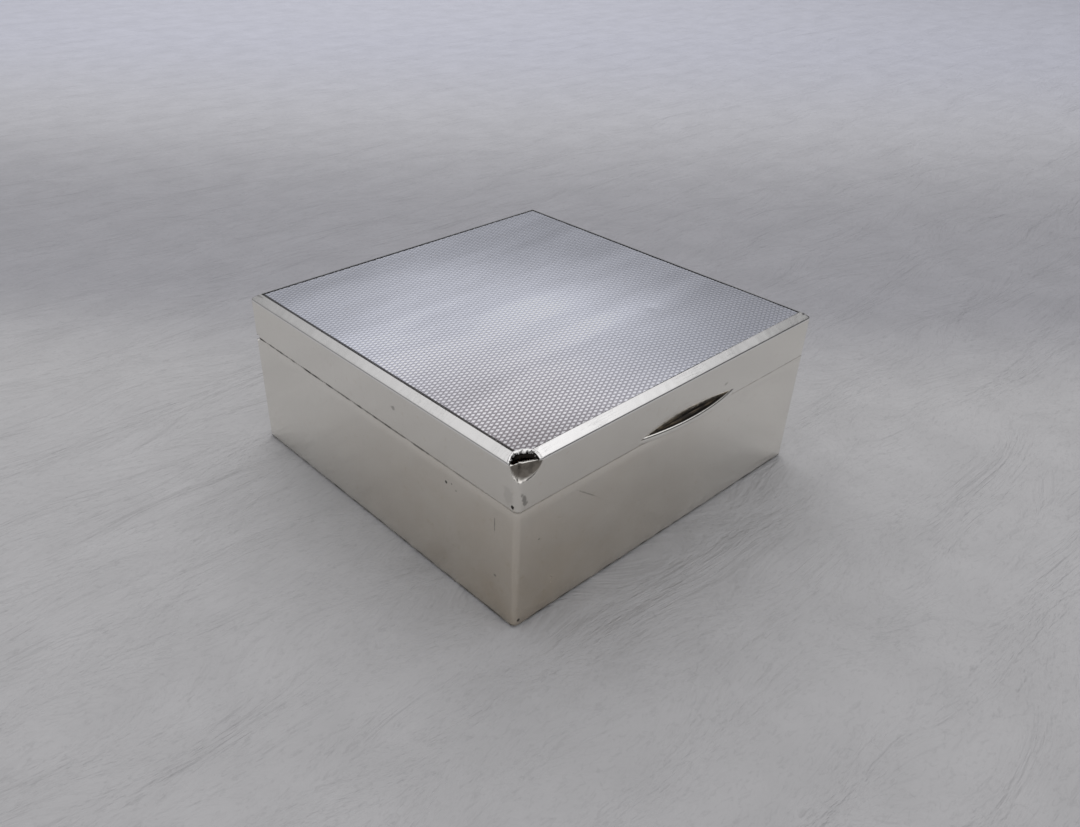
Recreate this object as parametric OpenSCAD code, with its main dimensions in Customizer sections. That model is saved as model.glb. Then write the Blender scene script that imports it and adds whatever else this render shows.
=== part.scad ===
// Square silver stamp box with a hinged lid, an engine-turned lid panel and a cedar interior.
// Millimetres. The origin is the middle of the underside, +Z is up and the front faces -Y.

/* [Case] */
// Width from side to side over the silver plates
box_w = 85; // [76:1:110]
// Depth from front to back over the silver plates
box_d = 85; // [76:1:110]
// Height of the closed box
box_h = 36.5; // [31:0.1:46]
// Height of the lid from the seam to its top
lid_h = 10; // [9.5:0.1:14.5]
// Gap left at the seam all round
seam_gap = 0.1; // [0.05:0.01:0.3]
// Thickness of the silver side plates
plate_t = 0.6; // [0.4:0.05:0.8]
// Radius of the upright corner edges
corner_r = 1.1; // [0.2:0.05:1.5]
// Height of the side plates' lower edge above the table
plate_lift = 0.5; // [0.1:0.05:0.8]

/* [Lid top] */
// Width of the plain polished border
border_w = 1.9; // [1.4:0.1:4]
// Slope of the border below the horizontal, in degrees
border_slope = 30; // [20:1:36]
// Radius of the lid's top outer edge
edge_r = 0.45; // [0.2:0.05:0.7]
// Thickness of the border sheet
border_t = 0.6; // [0.4:0.05:0.9]
// Width of the fine groove round the panel
groove_w = 0.3; // [0.15:0.05:0.6]
// Thickness of the engine-turned panel
panel_t = 0.7; // [0.5:0.05:1]
// Depth of the panel's face below the border's inner edge
panel_drop = 0.1; // [0.05:0.01:0.3]
// Width of the ledge that carries the panel
ledge_w = 1.4; // [0.8:0.1:3]

/* [Thumb lip] */
// Width of the lip along the lid's front edge
lip_w = 29; // [18:0.5:40]
// Distance of the lip's middle to the right of the lid's middle
lip_x = 2.8; // [-8:0.1:8]
// Reach of the lip in front of the lid
lip_reach = 1.65; // [1.2:0.05:3]
// Height of the lip
lip_h = 1.25; // [0.8:0.05:2]
// Depth of the lip's rounded front
lip_nose = 0.35; // [0.2:0.05:0.6]
// Depth of the hollow between the rim and the lid
lip_hollow = 0.2; // [0.05:0.05:0.4]

/* [Corner dent] */
// Radius of the hole torn in the lid's border
bite_r = 3.2; // [2.4:0.1:3.6]
// Centre of the hole to the right of the corner
bite_x = 2; // [0.5:0.1:2.5]
// Centre of the hole in front of the corner
bite_y = 0.9; // [0:0.1:1.5]
// Radius of the hollow that the blow left in the side plates
crush_r = 4.2; // [3:0.1:4.5]
// Centre of the hollow to the right of the corner
crush_x = 1.5; // [0:0.1:2]
// Centre of the hollow in front of the corner
crush_y = 2.4; // [0:0.1:2.6]
// Depth of both centres below the lid's top
dent_z = 0.3; // [0:0.1:0.6]
// Thickness of the crushed sheet in the dent
dent_t = 0.5; // [0.3:0.05:0.7]
// Depth of the crushed sheet's torn edge below the lid's top
tear_h = 1; // [0.8:0.1:1.6]
// Gap torn open between the border and the crushed sheet
tear_gap = 0.3; // [0.1:0.1:0.6]

/* [Hinge] */
// Radius of the hinge knuckles
knuckle_r = 0.9; // [0.8:0.05:1.2]
// Number of knuckles along the back
knuckle_count = 5; // [3:2:11]
// Gap between neighbouring knuckles
knuckle_gap = 0.1; // [0.05:0.05:0.3]
// Distance of the hinge barrel's ends from the sides
barrel_inset = 1.2; // [0.8:0.1:4]
// Radius of the hinge pin
pin_r = 0.4; // [0.3:0.02:0.5]
// Running clearance round the pin
pin_gap = 0.05; // [0.02:0.01:0.1]
// Clearance between the knuckles and the channel they turn in
channel_gap = 0.25; // [0.2:0.05:0.4]
// Wall of the two channels that carry the knuckles
channel_t = 0.6; // [0.4:0.05:0.9]

/* [Base and lining] */
// Thickness of the leather under the box
leather_t = 0.8; // [0.5:0.1:1.5]
// Gap round the leather
leather_gap = 0.2; // [0.1:0.05:0.5]
// Thickness of the wooden base board
board_t = 3; // [2:0.1:5]
// Thickness of the cedar slips that line the walls
slip_t = 3.2; // [2.8:0.1:4.5]
// Height of the front and side slips above the seam
slip_rise = 2.3; // [1:0.1:2.5]
// Clearance between the raised slips and the lid
slip_gap = 0.3; // [0.2:0.05:0.5]
// Chamfer on the raised slips' top outer edge
slip_chamfer = 0.6; // [0.2:0.05:1]
// Thickness of the cedar floor
floor_t = 1.5; // [1:0.1:3]
// Thickness of the two dividers
divider_t = 2; // [1.5:0.1:3]
// Depth of the dividers' top edge below the seam
divider_drop = 2.2; // [1:0.1:6]
// Depth of the grooves that hold the dividers' ends
housing = 1; // [0.5:0.1:1.5]
// Fitting gap round the dividers in their grooves and halvings
joint_gap = 0.05; // [0.02:0.01:0.15]
// Thickness of a stamp ramp at its lowest place
ramp_low = 1; // [0.6:0.1:2]
// Rise of a stamp ramp from its middle to its ends
ramp_rise = 8; // [4:0.5:11]
// Gap round each stamp ramp
ramp_gap = 0.15; // [0.05:0.05:0.4]

/* [Lid lining] */
// Depth of the lid's lining board above the seam
lid_recess = 3; // [2.8:0.1:3.5]
// Thickness of the lid's lining board
lid_board_t = 2; // [1.2:0.1:2.4]
// Width of the packing strips above the lining board
packing_w = 3; // [2:0.5:6]

/* [Hidden] */
$fn = 64;

// Overshoot of a cutting body past what it cuts
past = 1;
// The four sides, as turns from the front in degrees
front_turn = 0;
right_turn = 90;
back_turn = 180;
left_turn = 270;
side_turns = [front_turn, right_turn, back_turn, left_turn];

silver = [0.80, 0.80, 0.78];
turned_silver = [0.70, 0.70, 0.74];
cedar = [0.62, 0.38, 0.22];
board_wood = [0.42, 0.26, 0.15];
leather = [0.10, 0.07, 0.06];

inner_w = box_w - 2 * plate_t;
inner_d = box_d - 2 * plate_t;
seam_z = box_h - lid_h;
lid_z = seam_z + seam_gap;

// The border: a sloping sheet whose outer edge is rounded into the walls, and a flat ledge
edge_round = min(edge_r, border_t);
shoulder_z = -edge_round / cos(border_slope) - tan(border_slope) * (border_w - edge_round);
panel_z = box_h - panel_drop - panel_t;
panel_inset = border_w + groove_w;
ledge_in = panel_inset + ledge_w;
ledge_top = -panel_drop - panel_t;
ledge_under = ledge_top - border_t;
border_h = border_t - min(shoulder_z, ledge_under);
border_z = box_h - border_h;
slope_under = border_t / cos(border_slope);
ledge_out = max(plate_t, border_w + (ledge_under + slope_under) / tan(border_slope));
slope_foot = (ledge_out - plate_t) * tan(border_slope);

// The lip is a slice of a wide ring, so its plan is a shallow crescent
lip_r = (lip_w * lip_w / 4 + lip_reach * lip_reach) / (2 * lip_reach);
lip_axis_y = lip_r - box_d / 2 - lip_reach;
lip_steps = 10;

// The hinge turns in a slot along the back, with its barrel flush with the back face
hinge_y = box_d / 2 - knuckle_r;
slot_r = knuckle_r + channel_gap;
channel_in = slot_r + channel_t;
barrel_l = box_w - 2 * barrel_inset;
knuckle_l = (barrel_l - (knuckle_count - 1) * knuckle_gap) / knuckle_count;
foot_turn = 10;

// The cedar interior, from the board up
board_z = leather_t;
floor_z = board_z + board_t;
ramp_z = floor_z + floor_t;
slip_h = seam_z - floor_z;
slip_top = seam_z + slip_rise;
rebate_w = channel_in + knuckle_r - plate_t + slip_gap;
bay_w = inner_w - 2 * slip_t;
bay_d = inner_d - 2 * slip_t;
divider_top = seam_z - divider_drop;
divider_h = divider_top - ramp_z;
divider_slot = divider_t + 2 * joint_gap;
cell_w = (bay_w - divider_t) / 2;
cell_d = (bay_d - divider_t) / 2;
ramp_w = cell_w - 2 * ramp_gap;
ramp_d = cell_d - 2 * ramp_gap;
ramp_curve = (ramp_d * ramp_d / 4 + ramp_rise * ramp_rise) / (2 * ramp_rise);

lid_board_z = seam_z + lid_recess;
packing_z = lid_board_z + lid_board_t;
packing_top = box_h + ledge_under;
packing_out_w = box_w - 2 * ledge_out;
packing_out_d = box_d - 2 * ledge_out;

function along_x(turn) = turn == front_turn || turn == back_turn;
function side_len(turn) = along_x(turn) ? box_w : box_d;
function side_off(turn) = (along_x(turn) ? box_d : box_w) / 2;

module rounded_plan(w, d, r) {
    square([w - 2 * r, d], center = true);
    square([w, d - 2 * r], center = true);
    for (x = [-1, 1], y = [-1, 1])
        translate([x * (w / 2 - r), y * (d / 2 - r)])
            circle(r);
}

// The part of the plan that belongs to one side, cut off at 45 degrees at both corners
module mitre_plan(turn, reach) {
    half = side_len(turn) / 2;
    off = side_off(turn);
    rotate(turn)
        polygon([
            [-half - past, -off - past],
            [half + past, -off - past],
            [half - reach, -off + reach],
            [-half + reach, -off + reach],
        ]);
}

module plate_plan(turn)
    intersection() {
        difference() {
            rounded_plan(box_w, box_d, corner_r);
            square([inner_w, inner_d], center = true);
        }
        mitre_plan(turn, 2 * plate_t);
    }

// A bar along X at the hinge axis
module along_hinge(x, l)
    translate([x, hinge_y, seam_z])
        rotate([90, 0, 90])
            linear_extrude(l)
                children();

// The slot along the back edge in which the hinge barrel turns
module hinge_slot()
    along_hinge(-box_w / 2 - past, box_w + 2 * past) {
        circle(slot_r);
        translate([0, -slot_r])
            square([knuckle_r + past, 2 * slot_r]);
    }

// What is torn out of the border, grown by a clearance: a ball with a straight shaft below it
module bite(clear)
    translate([bite_x - box_w / 2, -bite_y - box_d / 2, box_h - dent_z]) {
        sphere(bite_r + clear);
        translate([0, 0, -border_h - past])
            cylinder(r = bite_r + clear, h = border_h + past);
    }

// What the blow pushed in, grown by a clearance
module blow(clear)
    translate([crush_x - box_w / 2, -crush_y - box_d / 2, box_h - dent_z])
        sphere(crush_r + clear);

// The sheet that the blow pushed in. It stands free in the hole and ends below the rest of the border.
module crushed_sheet(turn)
    intersection() {
        difference() {
            blow(dent_t);
            blow(0);
        }
        union() {
            translate([-box_w, -box_d, lid_z])
                cube([2 * box_w, 2 * box_d, border_z - tear_gap - lid_z]);
            bite(-tear_gap);
        }
        translate([0, 0, lid_z])
            linear_extrude(box_h - tear_h - lid_z)
                intersection() {
                    rounded_plan(box_w, box_d, corner_r);
                    mitre_plan(turn, 2 * crush_r);
                }
    }

module base_plate(turn)
    color(silver)
        difference() {
            translate([0, 0, plate_lift])
                linear_extrude(seam_z - plate_lift)
                    plate_plan(turn);
            hinge_slot();
        }

module lid_plate(turn)
    color(silver) {
        difference() {
            translate([0, 0, lid_z])
                linear_extrude(border_z - lid_z)
                    plate_plan(turn);
            hinge_slot();
            blow(0);
        }
        if (turn == front_turn || turn == left_turn)
            crushed_sheet(turn);
    }

module base_front_plate() base_plate(front_turn);
module base_right_plate() base_plate(right_turn);
module base_back_plate() base_plate(back_turn);
module base_left_plate() base_plate(left_turn);
module lid_front_plate() lid_plate(front_turn);
module lid_right_plate() lid_plate(right_turn);
module lid_back_plate() lid_plate(back_turn);
module lid_left_plate() lid_plate(left_turn);

module base_board()
    color(board_wood)
        translate([0, 0, board_z])
            linear_extrude(board_t)
                square([inner_w, inner_d], center = true);

module underside_leather()
    color(leather)
        linear_extrude(leather_t)
            square([inner_w - 2 * leather_gap, inner_d - 2 * leather_gap], center = true);

// A slip's end view: x is the distance from the plate, y the height above the board.
// Its top stands above the seam and is drawn in from the plate, so that the lid shuts over it.
module raised_slip_profile()
    polygon([
        [0, 0],
        [slip_t, 0],
        [slip_t, slip_top - floor_z],
        [slip_gap + slip_chamfer, slip_top - floor_z],
        [slip_gap, slip_top - slip_chamfer - floor_z],
        [slip_gap, slip_h],
        [0, slip_h],
    ]);

// The back slip's end view. It ends at the seam and is rebated round the hinge channel.
module rebated_slip_profile()
    polygon([
        [0, 0],
        [slip_t, 0],
        [slip_t, slip_h],
        [rebate_w, slip_h],
        [rebate_w, slip_h - channel_in],
        [0, slip_h - channel_in],
    ]);

// A slip of the given length along one side, standing on the base board
module slip(turn, l)
    rotate(turn)
        translate([-l / 2, plate_t - side_off(turn), floor_z])
            rotate([90, 0, 90])
                linear_extrude(l)
                    children();

// What is cut off the ends of the front slip's raised top, so that it clears the lid's sides
module lid_side_gaps()
    for (x = [-1, 1])
        translate([x * inner_w / 2 - slip_gap, -box_d / 2, seam_z])
            cube([2 * slip_gap, box_d, slip_rise + past]);

module lining_front()
    color(cedar)
        difference() {
            slip(front_turn, inner_w)
                raised_slip_profile();
            lid_side_gaps();
            divider_grooves();
        }

module lining_back()
    color(cedar)
        difference() {
            slip(back_turn, inner_w)
                rebated_slip_profile();
            divider_grooves();
        }

module lining_side(turn)
    color(cedar)
        difference() {
            slip(turn, bay_d)
                raised_slip_profile();
            divider_grooves();
        }

module lining_right() lining_side(right_turn);
module lining_left() lining_side(left_turn);

module lining_floor()
    color(cedar)
        translate([0, 0, floor_z])
            linear_extrude(floor_t)
                square([bay_w, bay_d], center = true);

// The cross of grooves that take the dividers' ends, open at the top
module divider_grooves()
    translate([0, 0, ramp_z])
        linear_extrude(slip_top + past - ramp_z) {
            square([divider_slot, bay_d + 2 * housing], center = true);
            square([bay_w + 2 * housing, divider_slot], center = true);
        }

// One divider, its halving cut from the top or from below
module divider(l, from_top)
    difference() {
        translate([-divider_t / 2, -l / 2, ramp_z])
            cube([divider_t, l, divider_h]);
        translate([
            -divider_t,
            -divider_slot / 2,
            from_top ? ramp_z + divider_h / 2 : ramp_z - past,
        ])
            cube([2 * divider_t, divider_slot, divider_h / 2 + past]);
    }

module divider_lengthwise()
    color(cedar)
        divider(bay_d + 2 * (housing - joint_gap), true);

module divider_crosswise()
    color(cedar)
        rotate(90)
            divider(bay_w + 2 * (housing - joint_gap), false);

// Four blocks with a hollow top, up which a stamp is slid out with one finger
module stamp_ramps()
    color(cedar)
        for (x = [-1, 1], y = [-1, 1])
            translate([
                x * (divider_t + cell_w) / 2,
                y * (divider_t + cell_d) / 2,
                ramp_z,
            ])
                difference() {
                    translate([-ramp_w / 2, -ramp_d / 2, 0])
                        cube([ramp_w, ramp_d, ramp_low + ramp_rise]);
                    translate([-ramp_w / 2 - past, 0, ramp_low + ramp_curve])
                        rotate([0, 90, 0])
                            cylinder(r = ramp_curve, h = ramp_w + 2 * past);
                }

// The hollowed bar along one edge of the seam that carries half of the knuckles
module hinge_channel(up)
    color(silver)
        difference() {
            along_hinge(-inner_w / 2, inner_w)
                translate([-channel_in, up ? seam_gap : -channel_in])
                    square([
                        channel_in + knuckle_r - plate_t,
                        channel_in - (up ? seam_gap : 0),
                    ]);
            hinge_slot();
        }

module hinge_channel_base() hinge_channel(false);
module hinge_channel_lid() hinge_channel(true);

// A knuckle's end view: a drilled round with a foot that fills the channel behind it
module knuckle_profile(up) {
    lean = up ? 1 : -1;
    difference() {
        union() {
            circle(knuckle_r);
            intersection() {
                circle(slot_r);
                polygon([
                    [0, 0],
                    3 * slot_r * [-cos(foot_turn), lean * sin(foot_turn)],
                    3 * slot_r * [-sin(foot_turn), lean * cos(foot_turn)],
                ]);
            }
        }
        circle(pin_r + pin_gap);
    }
}

// Every second knuckle, starting with the given one
module knuckles(first, up)
    color(silver)
        for (i = [first : 2 : knuckle_count - 1])
            along_hinge(i * (knuckle_l + knuckle_gap) - barrel_l / 2, knuckle_l)
                knuckle_profile(up);

module hinge_knuckles_base() knuckles(0, false);
module hinge_knuckles_lid() knuckles(1, true);

module hinge_pin()
    color(silver)
        translate([-barrel_l / 2, hinge_y, seam_z])
            rotate([0, 90, 0])
                cylinder(r = pin_r, h = barrel_l);

// The border's end view: x is the distance in from the outer face, y the height above the top
module border_profile() {
    shoulder = [edge_round, shoulder_z];
    polygon([
        [0, -border_h],
        [0, shoulder_z],
        shoulder + edge_round * [-sin(border_slope), cos(border_slope)],
        [border_w, 0],
        [border_w, ledge_top],
        [ledge_in, ledge_top],
        [ledge_in, ledge_under],
        [ledge_out, ledge_under],
        [plate_t, ledge_under - slope_foot],
        [plate_t, -border_h],
    ]);
    translate(shoulder)
        intersection() {
            circle(edge_round);
            translate([-edge_round, 0])
                square(edge_round);
        }
}

module border_side(turn) {
    l = side_len(turn);
    intersection() {
        rotate(turn)
            translate([-l / 2, -side_off(turn), box_h])
                rotate([90, 0, 90])
                    linear_extrude(l)
                        border_profile();
        translate([0, 0, border_z - past])
            linear_extrude(border_h + 2 * past)
                mitre_plan(turn, 2 * ledge_in);
    }
}

module lid_border()
    color(silver)
        difference() {
            intersection() {
                union()
                    for (turn = side_turns)
                        border_side(turn);
                translate([0, 0, border_z - past])
                    linear_extrude(border_h + 2 * past)
                        rounded_plan(box_w, box_d, corner_r);
            }
            bite(0);
            blow(0);
        }

module engine_turned_panel()
    color(turned_silver)
        difference() {
            translate([0, 0, panel_z])
                linear_extrude(panel_t)
                    square([box_w - 2 * panel_inset, box_d - 2 * panel_inset], center = true);
            bite(0);
        }

// The lip's section: x is the distance from the ring's centre, y the height above the lid's edge
module lip_profile() {
    rim = lip_r - lip_nose;
    root = lip_r - lip_reach;
    polygon([
        [root - past, 0],
        for (i = [0 : lip_steps])
            let (turn = 180 * i / lip_steps - 90)
                [rim + lip_nose * cos(turn), lip_h / 2 * (1 + sin(turn))],
        for (i = [1 : lip_steps])
            let (along = i / lip_steps)
                [rim + (root - rim) * along, lip_h - lip_hollow * sin(180 * along)],
        [root - past, lip_h],
    ]);
}

module thumb_lip()
    color(silver)
        intersection() {
            translate([lip_x, lip_axis_y, lid_z])
                rotate(-90)
                    rotate_extrude($fn = 360)
                        lip_profile();
            translate([-box_w / 2, -box_d / 2 - 2 * lip_reach, lid_z - past])
                cube([box_w, 2 * lip_reach, lip_h + 2 * past]);
        }

module lid_lining_board()
    color(cedar)
        difference() {
            translate([0, 0, lid_board_z])
                linear_extrude(lid_board_t)
                    square([inner_w, inner_d], center = true);
            blow(dent_t);
        }

// Four strips between the lining board and the border, the side ones butted between the others
module lid_packing_strips()
    color(board_wood)
        difference() {
            for (turn = side_turns) {
                l = along_x(turn) ? packing_out_w : packing_out_d - 2 * (packing_w + joint_gap);
                rotate(turn)
                    translate([-l / 2, ledge_out - side_off(turn), packing_z])
                        cube([l, packing_w, packing_top - packing_z]);
            }
            blow(dent_t);
            bite(0);
        }

base_front_plate();
base_right_plate();
base_back_plate();
base_left_plate();
base_board();
underside_leather();
lining_front();
lining_right();
lining_back();
lining_left();
lining_floor();
divider_lengthwise();
divider_crosswise();
stamp_ramps();
hinge_channel_base();
hinge_knuckles_base();
hinge_pin();
lid_front_plate();
lid_right_plate();
lid_back_plate();
lid_left_plate();
lid_border();
engine_turned_panel();
thumb_lip();
lid_lining_board();
lid_packing_strips();
hinge_channel_lid();
hinge_knuckles_lid();
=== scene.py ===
"""Looks of the square silver stamp box with its engine-turned lid.

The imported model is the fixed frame. Each operator below makes one group of pieces or finishes on it,
in metres. X runs along the front, the front faces -Y and +Z is up.
"""

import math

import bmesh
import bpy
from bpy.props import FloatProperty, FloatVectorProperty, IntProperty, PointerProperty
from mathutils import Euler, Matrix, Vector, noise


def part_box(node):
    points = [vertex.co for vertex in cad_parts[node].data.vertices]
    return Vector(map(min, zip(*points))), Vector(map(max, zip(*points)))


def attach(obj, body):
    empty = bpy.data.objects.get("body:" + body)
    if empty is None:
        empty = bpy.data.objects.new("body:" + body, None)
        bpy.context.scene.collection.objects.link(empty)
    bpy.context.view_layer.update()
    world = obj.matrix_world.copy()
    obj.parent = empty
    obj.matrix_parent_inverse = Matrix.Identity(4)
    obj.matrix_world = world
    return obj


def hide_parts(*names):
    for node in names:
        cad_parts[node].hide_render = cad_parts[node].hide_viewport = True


bl_info = {
    "name": "Silver stamp box",
    "version": (1, 0, 0),
    "blender": (4, 5, 0),
    "location": "3D View > Sidebar > Stamp box",
    "description": "Dresses the stamp box in worn silver, engine turning, cedar and leather",
    "category": "Object",
}

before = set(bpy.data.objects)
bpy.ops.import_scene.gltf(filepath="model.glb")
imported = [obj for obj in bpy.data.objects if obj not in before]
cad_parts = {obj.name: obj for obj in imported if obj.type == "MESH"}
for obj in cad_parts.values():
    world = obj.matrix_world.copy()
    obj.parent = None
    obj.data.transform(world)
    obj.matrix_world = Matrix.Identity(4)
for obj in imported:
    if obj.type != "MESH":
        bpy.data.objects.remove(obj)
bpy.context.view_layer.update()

MM = 0.001
PICTURE_WIDTH = 1080
PICTURE_HEIGHT = 827

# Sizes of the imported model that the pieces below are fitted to
BORDER_LOW, BORDER_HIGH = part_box("lid_border")
PANEL_LOW, PANEL_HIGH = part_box("engine_turned_panel")
BASE_LOW, BASE_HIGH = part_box("base_front_plate")
LID_LOW, LID_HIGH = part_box("lid_right_plate")
BARREL_LOW, BARREL_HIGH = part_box("hinge_knuckles_base")
PIN_LOW, PIN_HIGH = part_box("hinge_pin")
LIP_LOW, LIP_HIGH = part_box("thumb_lip")
HALF = BORDER_HIGH.x
TOP = BORDER_HIGH.z
PLATE = BASE_HIGH.y - BASE_LOW.y
FRONT, RIGHT, BACK, LEFT = 0, 90, 180, 270
SIDES = {"front": FRONT, "right": RIGHT, "back": BACK, "left": LEFT}


def colour(name, description, default):
    """A colour property of the sidebar."""
    return FloatVectorProperty(
        name=name, description=description, subtype="COLOR", size=3, min=0, max=1, default=default
    )


def length(name, description, default_mm, low_mm=0.0):
    """A length property, stated in millimetres and stored in metres."""
    return FloatProperty(
        name=name, description=description, unit="LENGTH", default=default_mm * MM, min=low_mm * MM
    )


def share(name, description, default):
    """A property between nothing and all."""
    return FloatProperty(name=name, description=description, subtype="FACTOR", default=default, min=0, max=1)


class CameraSettings(bpy.types.PropertyGroup):
    """Where the picture is taken from."""

    place: FloatVectorProperty(
        name="Place", description="Place of the lens", subtype="TRANSLATION", unit="LENGTH", size=3,
        default=(-124.9 * MM, -127.1 * MM, 120.1 * MM),
    )
    turn: FloatVectorProperty(
        name="Turn", description="Turn of the camera", subtype="EULER", unit="ROTATION", size=3,
        default=(math.radians(55.54), math.radians(-0.63), math.radians(-41.95)),
    )
    lens_mm: FloatProperty(name="Lens", description="Focal length on a 36 mm frame", default=30.39)
    axis_x: FloatProperty(
        name="Axis across", description="Pixel column that the lens axis meets in the picture", default=494.7
    )
    axis_y: FloatProperty(
        name="Axis down", description="Pixel row that the lens axis meets in the picture", default=451.7
    )


class StageSettings(bpy.types.PropertyGroup):
    """The floor, the light and the background."""

    floor_near: colour("Floor near", "Colour of the paper round the box", (0.42, 0.415, 0.415))
    # The colour just behind the box is painted shade, and the far colour is painted light on the paper further back.
    floor_painted_shade: colour("Floor behind", "Colour of the paper just behind the box", (0.30, 0.297, 0.312))
    floor_far_painted_light: colour("Floor far", "Colour of the paper far behind the box", (0.43, 0.435, 0.485))
    floor_size: length("Floor size", "Half the width of the floor", 12000)
    sky: colour("Sky", "Colour of the room's light", (0.97, 0.97, 1.0))
    plain_light: FloatProperty(name="Room light", description="Level of the even light", default=0.78)
    overhead: FloatProperty(name="Overhead", description="Mirrored level above the box", default=1.05)
    overhead_left: FloatProperty(name="Overhead left", description="Mirrored level above, on the left", default=0.78)
    window: FloatProperty(name="Window", description="Mirrored level behind the box", default=0.70)
    horizon: FloatProperty(name="Horizon", description="Mirrored level just above the floor", default=0.24)
    gloom: FloatProperty(name="Gloom", description="Mirrored level in the room's dark side", default=0.05)
    lamp_power: FloatProperty(name="Lamp power", description="Power of the soft lamp", default=3.2)
    lamp_size: length("Lamp size", "Width of the soft lamp", 900)


class SilverSettings(bpy.types.PropertyGroup):
    """The worn polish of the silver, with its painted shade, highlights and reflections."""

    clean: colour("Clean silver", "Colour of the bare metal", (0.86, 0.84, 0.79))
    # The brown film's colour, for tarnish and for painted dark reflection near the front bottom corner
    film_and_reflection_brown: colour("Tarnish", "Colour of the brown film", (0.50, 0.40, 0.27))
    # Dark colour for marks and the darkened groove round the panel, and for painted shade in the seam, at the foot,
    # in the lip's hollow and round the hole at the broken corner
    grime_and_shade: colour("Grime", "Colour of old polish in the corners", (0.030, 0.026, 0.022))
    # The grains' tops take painted highlight and the bottoms of the cut lines painted shade
    turned: colour("Turned silver", "Colour of the engine-turned grains' tops", (1.0, 0.99, 1.0))
    cut: colour("Cut lines", "Colour at the bottom of the turned lines", (0.34, 0.32, 0.345))
    polish: share("Roughness", "Blur of the polished faces", 0.16)


class WoodSettings(bpy.types.PropertyGroup):
    """The cedar, the base board and the leather."""

    cedar_light: colour("Cedar light", "Colour of the early wood", (0.42, 0.215, 0.105))
    cedar_dark: colour("Cedar dark", "Colour of the late wood", (0.235, 0.098, 0.045))
    board_light: colour("Board light", "Colour of the base board", (0.10, 0.05, 0.028))
    board_dark: colour("Board dark", "Colour of the base board's grain", (0.04, 0.018, 0.01))
    leather: colour("Leather", "Colour of the leather under the box", (0.035, 0.03, 0.028))


class TurningSettings(bpy.types.PropertyGroup):
    """The barleycorn grains of the lid panel."""

    grain_length: length("Grain length", "Pitch of the grains from side to side", 2.02)
    grain_width: length("Grain width", "Width of a grain at its middle", 0.976)
    grain_height: length("Grain height", "Height of the least worn grains over their outline", 0.08)
    drift: FloatProperty(name="Drift", description="Slip of each row past the last, in grains", default=0.036)
    slope: FloatProperty(name="Slope", description="Rise of the rows from left to right", default=0.067)
    wave: length("Wave", "Depth of the panel's broad waves", 0.1)
    wave_length: length("Wave length", "Distance between the panel's waves", 19)
    knock: FloatVectorProperty(
        name="Knock", description="Place of the small knock in the panel", subtype="TRANSLATION", unit="LENGTH",
        size=2, default=(18.7 * MM, -18.7 * MM),
    )


class LipSettings(bpy.types.PropertyGroup):
    """The crescent lip on the lid's front edge."""

    reach: length("Reach", "Reach of the lip in front of the lid", 1.65)
    nose: length("Nose", "Depth of the rounded front", 0.35)
    hollow: length("Hollow", "Depth of the hollow behind the rim", 0.2)
    columns: IntProperty(name="Columns", description="Sections along the lip", default=72, min=8)


class SheetSettings(bpy.types.PropertyGroup):
    """The silver sheet of the walls and the lid's border."""

    corner: length("Corner radius", "Radius of the upright edges", 1.1)
    arris: length("Arris", "Wear of the plates' cut edges", 0.06)
    seam_gap: length("Seam gap", "Gap left between lid and base", 0.03)
    wave: length("Wave", "Depth of the hollows in the hand-worked sheet", 0.05)
    wave_length: length("Wave length", "Distance between the hollows", 24)
    coarse: length("Coarse step", "Mesh step on whole sheet", 2.4)
    fine: length("Fine step", "Mesh step beside the broken corner", 0.22)
    border_width: length("Border width", "Width of the sloping border", 1.9)
    border_slope: FloatProperty(
        name="Border slope", description="Slope of the border", subtype="ANGLE", default=math.radians(30)
    )
    border_edge: length("Border edge", "Radius of the border's outer edge", 0.45)
    border_sheet: length("Border sheet", "Thickness of the border", 0.6)
    ledge: length("Ledge", "Reach of the ledge from the lid's outer face", 3.6)


class DamageSettings(bpy.types.PropertyGroup):
    """The broken front left corner of the lid. Places count right, forward and down from the corner."""

    bite: FloatVectorProperty(
        name="Bite", description="Centre of the hole in the border", subtype="TRANSLATION", unit="LENGTH",
        default=(2.0 * MM, 0.0, 0.3 * MM),
    )
    bite_radius: length("Bite radius", "Radius of the hole in the border", 2.85)
    bite_jag: length("Jags", "Depth of the jags round the hole", 0.35)
    rim_width: length("Rim width", "Width of the bent rim round the hole", 0.65)
    dent_middle: length("Dent middle", "Middle of the dent, right of the corner along the walls", 1.7)
    dent_reach: length("Dent reach", "Half the length of the dent along the walls", 4.5)
    dent_height: length("Dent height", "Depth of the dent's foot below the lid's top", 4.15)
    dent_depth: length("Dent depth", "How far the corner was driven in", 2.6)
    crease: length("Crease", "Depth of the fold down the crushed edge", 0.35)


SETTINGS = {
    "stamp_box_camera": CameraSettings,
    "stamp_box_lip": LipSettings,
    "stamp_box_wood": WoodSettings,
    "stamp_box_sheet": SheetSettings,
    "stamp_box_damage": DamageSettings,
    "stamp_box_stage": StageSettings,
    "stamp_box_silver": SilverSettings,
    "stamp_box_turning": TurningSettings,
}


def take_picture_camera(settings):
    """The camera at the photograph's viewpoint."""
    data = bpy.data.cameras.new("picture_camera")
    data.lens = settings.lens_mm
    data.sensor_fit = "HORIZONTAL"
    data.sensor_width = 36
    data.shift_x = (PICTURE_WIDTH / 2 - settings.axis_x) / PICTURE_WIDTH
    data.shift_y = (settings.axis_y - PICTURE_HEIGHT / 2) / PICTURE_WIDTH
    data.clip_start = 1 * MM
    camera = bpy.data.objects.new("picture_camera", data)
    camera.location = settings.place
    camera.rotation_euler = Euler(settings.turn, "XYZ")
    bpy.context.scene.collection.objects.link(camera)
    bpy.context.scene.camera = camera


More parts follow.
